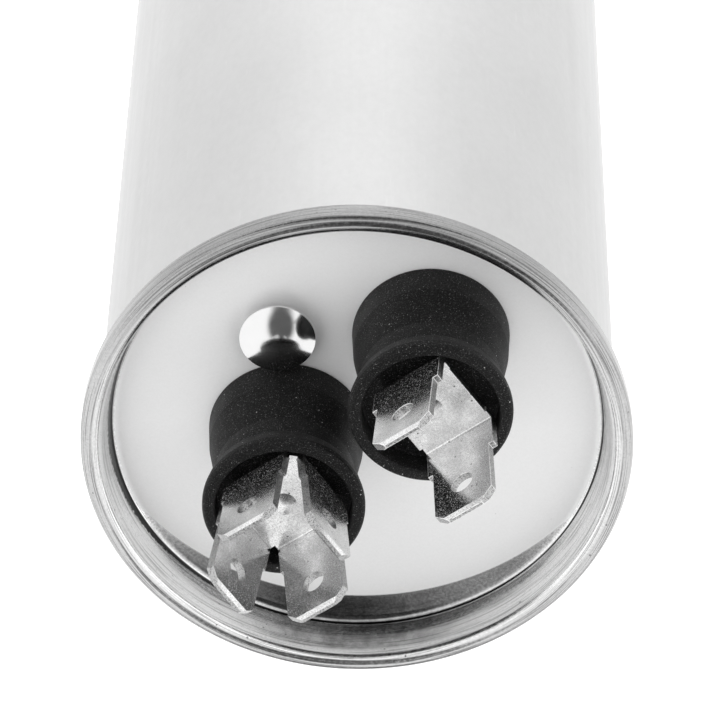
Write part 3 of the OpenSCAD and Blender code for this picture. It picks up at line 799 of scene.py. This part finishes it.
class CAPACITOR_OT_stage(bpy.types.Operator):
    """Adds the floor, the soft studio light and the camera"""

    bl_idname = "capacitor.stage"
    bl_label = "Stage"

    # Brightness of the sky by height, from 0, straight down, to 1, straight up
    SKY = ((0.0, 0.9), (0.47, 0.45), (0.50, 0.08), (0.72, 0.14), (0.79, 0.40), (0.87, 1.0), (1.0, 1.0))

    def execute(self, context):
        settings = context.scene.capacitor_stage
        self.add_floor()
        self.add_world(context, settings)
        self.add_camera(context, settings)
        context.scene.view_settings.view_transform = "Standard"
        return {"FINISHED"}

    def add_floor(self):
        """Pale floor, which camera and metal see brighter than it is lit, most of all near the can."""
        half, below = 3.0, -0.05 * MM
        pool_r, pool_lift, far_lift = 70 * MM, 0.70, 0.32
        mesh = bpy.data.meshes.new("floor")
        corners = [(-half, -half, below), (half, -half, below), (half, half, below), (-half, half, below)]
        mesh.from_pydata(corners, [], [(0, 1, 2, 3)])
        finish = Finish("pale_floor", grey(0.9), 0.8)
        finish.colour(finish.blend(finish.noise(60 * MM), grey(0.89), grey(0.91)))
        rays = finish.add("ShaderNodeLightPath").outputs
        seen = finish.math("MAXIMUM", rays["Is Camera Ray"], rays["Is Glossy Ray"])
        seen = finish.math("MAXIMUM", seen, rays["Is Transmission Ray"])
        beside = finish.math("ABSOLUTE", finish.along("X"))
        pool = finish.level(beside, 0.0, pool_r, pool_lift, far_lift, smooth=True)
        lift = finish.add("ShaderNodeEmission", {"Strength": finish.product(seen, pool)})
        both = finish.add("ShaderNodeAddShader", {0: finish.surface.outputs[0], 1: lift.outputs[0]})
        nodes = finish.material.node_tree.nodes
        finish.put(nodes["Material Output"].inputs["Surface"], both.outputs[0])
        mesh.materials.append(finish.material)
        new_object("floor", mesh)

    def add_world(self, context, settings):
        """Soft light from above and both sides, a dark band low in front and behind, and a dark rig."""
        world = bpy.data.worlds.new("studio")
        world.use_nodes = True
        context.scene.world = world
        graph = Graph(world.node_tree)
        light = world.node_tree.nodes["Background"]
        raised_by_side, raised_by_front = 0.9, 0.15  # how much higher a direction there counts
        way = graph.add("ShaderNodeTexCoord").outputs["Generated"]
        across, away, height = graph.add("ShaderNodeSeparateXYZ", {"Vector": way}).outputs
        sides = graph.math("MULTIPLY_ADD", graph.math("ABSOLUTE", across), raised_by_side, height)
        far = graph.math("MULTIPLY_ADD", away, raised_by_front, sides)
        lifted = graph.math("MULTIPLY_ADD", far, 0.5, 0.5)
        ramp = graph.add("ShaderNodeValToRGB", {"Fac": lifted})
        self.fill_ramp(ramp.color_ramp)
        shade = self.add_rig(graph, across, graph.math("ARCTAN2", away, height))
        studio = graph.add("ShaderNodeVectorMath", {0: ramp.outputs[0], "Scale": shade}, operation="SCALE")
        seen = graph.add("ShaderNodeLightPath").outputs["Is Camera Ray"]
        mix = graph.add("ShaderNodeMix", data_type="RGBA")
        graph.put(mix.inputs[0], seen)
        graph.put(mix.inputs[6], studio.outputs[0])
        graph.put(mix.inputs[7], (1.0, 1.0, 1.0, 1.0))
        graph.put(light.inputs["Color"], mix.outputs[2])
        graph.put(light.inputs["Strength"], settings.sky)

    def add_rig(self, graph, across, angle):
        """Dark oval about the zenith, as the share of light it leaves."""
        middle_angle, half_angle = math.radians(2), math.radians(30)
        side, half_width = -0.07, 0.31
        core, rim, darkest = 0.55, 1.5, 0.10
        long_way = graph.math("DIVIDE", graph.math("SUBTRACT", angle, middle_angle), half_angle)
        wide_way = graph.math("DIVIDE", graph.math("SUBTRACT", across, side), half_width)
        squares = graph.math("ADD", graph.math("POWER", long_way, 2.0), graph.math("POWER", wide_way, 2.0))
        inputs = {"Value": squares, "From Min": core, "From Max": rim, "To Min": darkest, "To Max": 1.0}
        return graph.add("ShaderNodeMapRange", inputs, interpolation_type="SMOOTHSTEP").outputs["Result"]

    def fill_ramp(self, ramp):
        """Gives a colour ramp the brightness of the sky."""
        ramp.elements[0].position, ramp.elements[-1].position = self.SKY[0][0], self.SKY[-1][0]
        for position, _ in self.SKY[1:-1]:
            ramp.elements.new(position)
        for element, (_, value) in zip(ramp.elements, self.SKY):
            element.color = (*grey(value), 1.0)

    def add_camera(self, context, settings):
        """Looks down at the lid, with the can's far end at the top of the view."""
        sine, cosine = math.sin(settings.tilt), math.cos(settings.tilt)
        back = Vector((0.0, -sine, cosine))
        right = Vector((-1.0, 0.0, 0.0))
        up = Vector((0.0, -cosine, -sine))
        aim = Matrix((right, up, back)).transposed()
        turn = Matrix.Rotation(settings.roll, 3, "Z") @ Matrix.Rotation(settings.aside, 3, "Y")
        turn = turn @ Matrix.Rotation(settings.up, 3, "X")
        data = bpy.data.cameras.new("camera")
        data.lens = settings.lens
        data.sensor_width = 36.0
        data.clip_start = 10 * MM
        camera = new_object("camera", data)
        place = Vector((0.0, 0.0, LID_Z)) + settings.distance * back
        camera.matrix_world = Matrix.Translation(place) @ (aim @ turn).to_4x4()
        context.scene.camera = camera


class CAPACITOR_OT_can(bpy.types.Operator):
    """Finishes the drawn can"""

    bl_idname = "capacitor.can"
    bl_label = "Can"

    def execute(self, context):
        dress("can_shell", drawn_aluminium(context.scene.capacitor_can))
        return {"FINISHED"}


class CAPACITOR_OT_lid(bpy.types.Operator):
    """Turns the lid with its true round corners and finishes the seal in its seam"""

    bl_idname = "capacitor.lid"
    bl_label = "Lid"

    def execute(self, context):
        settings = context.scene.capacitor_lid
        post_hole_r, plug_hole_r, through = 2.6 * MM, 1.9 * MM, 1 * MM
        finish = Tinplate(settings)
        lid = turned_piece("lid_sheet", self.section(settings), (0, 0, 0), settings.steps, finish)
        holes = [(middle(post + "_gasket"), post_hole_r) for post in POSTS]
        holes.append((middle("fill_plug"), plug_hole_r))
        drilled(lid, holes, LID_Z - through, LID_Z + through)
        smooth(lid)
        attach(lid, "root")
        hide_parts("lid")
        compound = plain_finish("sealing_compound", (0.30, 0.22, 0.13), 0.6, size=0.3 * MM)
        dress("seam_seal", compound)
        return {"FINISHED"}

    def section(self, settings):
        """Sheet outline, out along its upper face and back along its lower face."""
        sheet = settings.sheet
        panel, panel_round = settings.panel_radius, 0.9 * MM
        lip_round, crest_round = 0.95 * MM, 0.95 * MM
        lip_inside, crest_inside = 0.45 * MM, 0.55 * MM
        wall_out, wall_up = 0.9, 4.15
        slope = wall_out / wall_up
        lean = math.sqrt(1 + slope * slope)
        hook_in = CAN_TOP - 2.7 * MM
        inner = 25.7 * MM
        hook_r = (SEAM_R - (inner - sheet)) / 2
        hook_top = CAN_TOP - 1.2 * MM
        flat = 0.75 * MM

        def wall(z, offset):
            """Radius of the leaning wall at a height, moved out by an offset."""
            return panel + slope * (z - LID_Z) + offset * lean

        low, top = LID_Z - sheet, CAN_TOP - sheet
        return [
            (0.0, LID_Z, 0.0),
            (panel - flat, LID_Z, 0.0),
            (wall(LID_Z, 0), LID_Z, panel_round),
            (wall(CAN_TOP, 0), CAN_TOP, lip_round),
            (SEAM_R, CAN_TOP, crest_round),
            (SEAM_R, hook_in, hook_r),
            (inner - sheet, hook_in, hook_r),
            (inner - sheet, hook_top, 0.0),
            (inner, hook_top, 0.0),
            (inner, hook_in + sheet, hook_r - sheet),
            (SEAM_R - sheet, hook_in + sheet, hook_r - sheet),
            (SEAM_R - sheet, top, crest_inside),
            (wall(top, sheet), top, lip_inside),
            (wall(low, sheet), low, panel_round + sheet),
            (panel - flat, low, 0.0),
            (0.0, low, 0.0),
        ]


class CAPACITOR_OT_plug(bpy.types.Operator):
    """Finishes the domed filling plug and its washer"""

    bl_idname = "capacitor.plug"
    bl_label = "Filling plug"

    def execute(self, context):
        dress("fill_plug", polished_steel())
        dress("plug_washer", plain_finish("plug_rubber", (0.03, 0.03, 0.03), 0.7))
        return {"FINISHED"}


class CAPACITOR_OT_posts(bpy.types.Operator):
    """Turns the two insulating posts with rounded corners and finishes their seals"""

    bl_idname = "capacitor.posts"
    bl_label = "Posts"

    def execute(self, context):
        settings = context.scene.capacitor_post
        finish = black_plastic(settings)
        rubber = plain_finish("gasket_rubber", (0.03, 0.03, 0.03), 0.7)
        laminate = plain_finish("laminate", (0.25, 0.14, 0.07), 0.5, size=0.5 * MM, stretch=(1, 1, 0.1))
        for post in POSTS:
            axis = middle(post + "_gasket")
            section = self.section(post, settings)
            piece = turned_piece(post + "_post", section, (axis.x, axis.y, 0.0), settings.steps, finish)
            smooth(piece)
            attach(piece, "root")
            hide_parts(post + "_insulator")
            dress(post + "_gasket", rubber)
            dress(post + "_inner_washer", laminate)
        return {"FINISHED"}

    def section(self, post, settings):
        """Foot with its gasket pocket, tapered neck, skirt, and the cup with its boss."""
        low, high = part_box(post + "_insulator")
        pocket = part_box(post + "_gasket")[1]
        skirt_r = (high.x - low.x) / 2
        play = 0.1 * MM
        pocket_r = pocket.x - middle(post + "_gasket").x + play
        foot_r, foot_z, foot_draft = 7.55 * MM, LID_Z + 3.4 * MM, 0.15 * MM
        waist_r, waist_z = 6.7 * MM, LID_Z + 8.0 * MM
        skirt_z, skirt_draft, flare = high.z - 2.2 * MM, 0.3 * MM, 0.9 * MM
        cup_r, cup_z = 6.5 * MM, high.z - 2.6 * MM
        boss_r, boss_z = 3.3 * MM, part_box(post + "_terminal")[0].z
        collar_r, bore_r = 2.5 * MM, 0.95 * MM
        rim_round = 0.45 * MM
        corner = settings.corner
        return [
            (bore_r, low.z, 0.0),
            (collar_r, low.z, corner),
            (collar_r, pocket.z, 0.0),
            (pocket_r, pocket.z, corner),
            (pocket_r, LID_Z, 0.0),
            (foot_r, LID_Z, corner),
            (foot_r - foot_draft, foot_z, 3 * corner),
            (waist_r, waist_z, 6 * corner),
            (waist_r, skirt_z - flare, 3 * corner),
            (skirt_r - skirt_draft, skirt_z, 2 * corner),
            (skirt_r, high.z - 2 * rim_round, 2 * corner),
            (skirt_r, high.z, rim_round),
            (cup_r, high.z, 1.5 * corner),
            (cup_r, cup_z, corner),
            (boss_r, cup_z, corner),
            (boss_r, boss_z, corner),
            (bore_r, boss_z, 0.0),
        ]


class CAPACITOR_OT_terminals(bpy.types.Operator):
    """Wears the edges of the two folded terminals and finishes them and their rivets"""

    bl_idname = "capacitor.terminals"
    bl_label = "Terminals"

    def execute(self, context):
        settings = context.scene.capacitor_terminal
        rolled = tinned_steel(settings)
        finishes = (rolled, sheared_steel(), burnished_steel())
        for post in POSTS:
            piece = pressed_copy(post + "_terminal", post + "_tabs", settings.edge, finishes)
            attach(piece, "root")
            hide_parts(post + "_terminal")
            dress(post + "_rivet", rolled)
        return {"FINISHED"}


class CAPACITOR_OT_leads(bpy.types.Operator):
    """Finishes the lugs, the lead wires and their sleeves"""

    bl_idname = "capacitor.leads"
    bl_label = "Leads"

    def execute(self, context):
        brass = plain_finish("lug_brass", (0.70, 0.54, 0.26), 0.3, metallic=1.0)
        wire = plain_finish("tinned_wire", (0.70, 0.70, 0.70), 0.3, metallic=1.0, size=0.15 * MM)
        sleeving = plain_finish("sleeving", (0.80, 0.77, 0.64), 0.8, size=0.12 * MM, depth=0.02 * MM)
        for post in POSTS:
            dress(post + "_lug", brass)
            dress(post + "_wire", wire)
            dress(post + "_sleeve", sleeving)
        return {"FINISHED"}


class CAPACITOR_OT_winding(bpy.types.Operator):
    """Finishes the film winding and the packing round it"""

    bl_idname = "capacitor.winding"
    bl_label = "Winding"

    def execute(self, context):
        film = plain_finish(
            "metallised_film", (0.58, 0.56, 0.52), 0.3, metallic=0.6, size=0.2 * MM, stretch=(1, 1, 60)
        )
        zinc = plain_finish(
            "sprayed_zinc", (0.42, 0.43, 0.45), 0.75, metallic=0.8, size=0.15 * MM, depth=0.03 * MM
        )
        natural = plain_finish("natural_plastic", (0.78, 0.78, 0.74), 0.45, size=2 * MM, spread=0.04)
        paper = plain_finish("wrapped_paper", (0.74, 0.69, 0.54), 0.8, size=0.25 * MM, depth=0.01 * MM)
        dress("winding", film)
        dress("liner_sleeve", paper)
        for node in ("top_end_spray", "bottom_end_spray"):
            dress(node, zinc)
        for node in ("core_tube", "base_cushion", "top_spacer"):
            dress(node, natural)
        return {"FINISHED"}


class CAPACITOR_PT_panel(bpy.types.Panel):
    """Lists the steps that finish the capacitor"""

    bl_label = "Motor Run Capacitor"
    bl_idname = "CAPACITOR_PT_panel"
    bl_space_type = "VIEW_3D"
    bl_region_type = "UI"
    bl_category = "Capacitor"

    def draw(self, context):
        column = self.layout.column()
        for step in STEPS:
            column.operator(step.bl_idname)
        for name, group in SETTINGS.items():
            values = getattr(context.scene, name)
            for prop in group.__annotations__:
                column.prop(values, prop)


SETTINGS = {
    "capacitor_can": CanSettings,
    "capacitor_lid": LidSettings,
    "capacitor_post": PostSettings,
    "capacitor_terminal": TerminalSettings,
    "capacitor_stage": StageSettings,
}
STEPS = (
    CAPACITOR_OT_stage,
    CAPACITOR_OT_can,
    CAPACITOR_OT_lid,
    CAPACITOR_OT_plug,
    CAPACITOR_OT_posts,
    CAPACITOR_OT_terminals,
    CAPACITOR_OT_leads,
    CAPACITOR_OT_winding,
)


def register():
    for group in (*SETTINGS.values(), *STEPS, CAPACITOR_PT_panel):
        bpy.utils.register_class(group)
    for name, group in SETTINGS.items():
        setattr(bpy.types.Scene, name, PointerProperty(type=group))


def unregister():
    for name in SETTINGS:
        delattr(bpy.types.Scene, name)
    for group in reversed((*SETTINGS.values(), *STEPS, CAPACITOR_PT_panel)):
        bpy.utils.unregister_class(group)


def main():
    register()
    bpy.ops.capacitor.stage()
    bpy.ops.capacitor.can()
    bpy.ops.capacitor.lid()
    bpy.ops.capacitor.plug()
    bpy.ops.capacitor.posts()
    bpy.ops.capacitor.terminals()
    bpy.ops.capacitor.leads()
    bpy.ops.capacitor.winding()


if __name__ == "__main__":
    main()
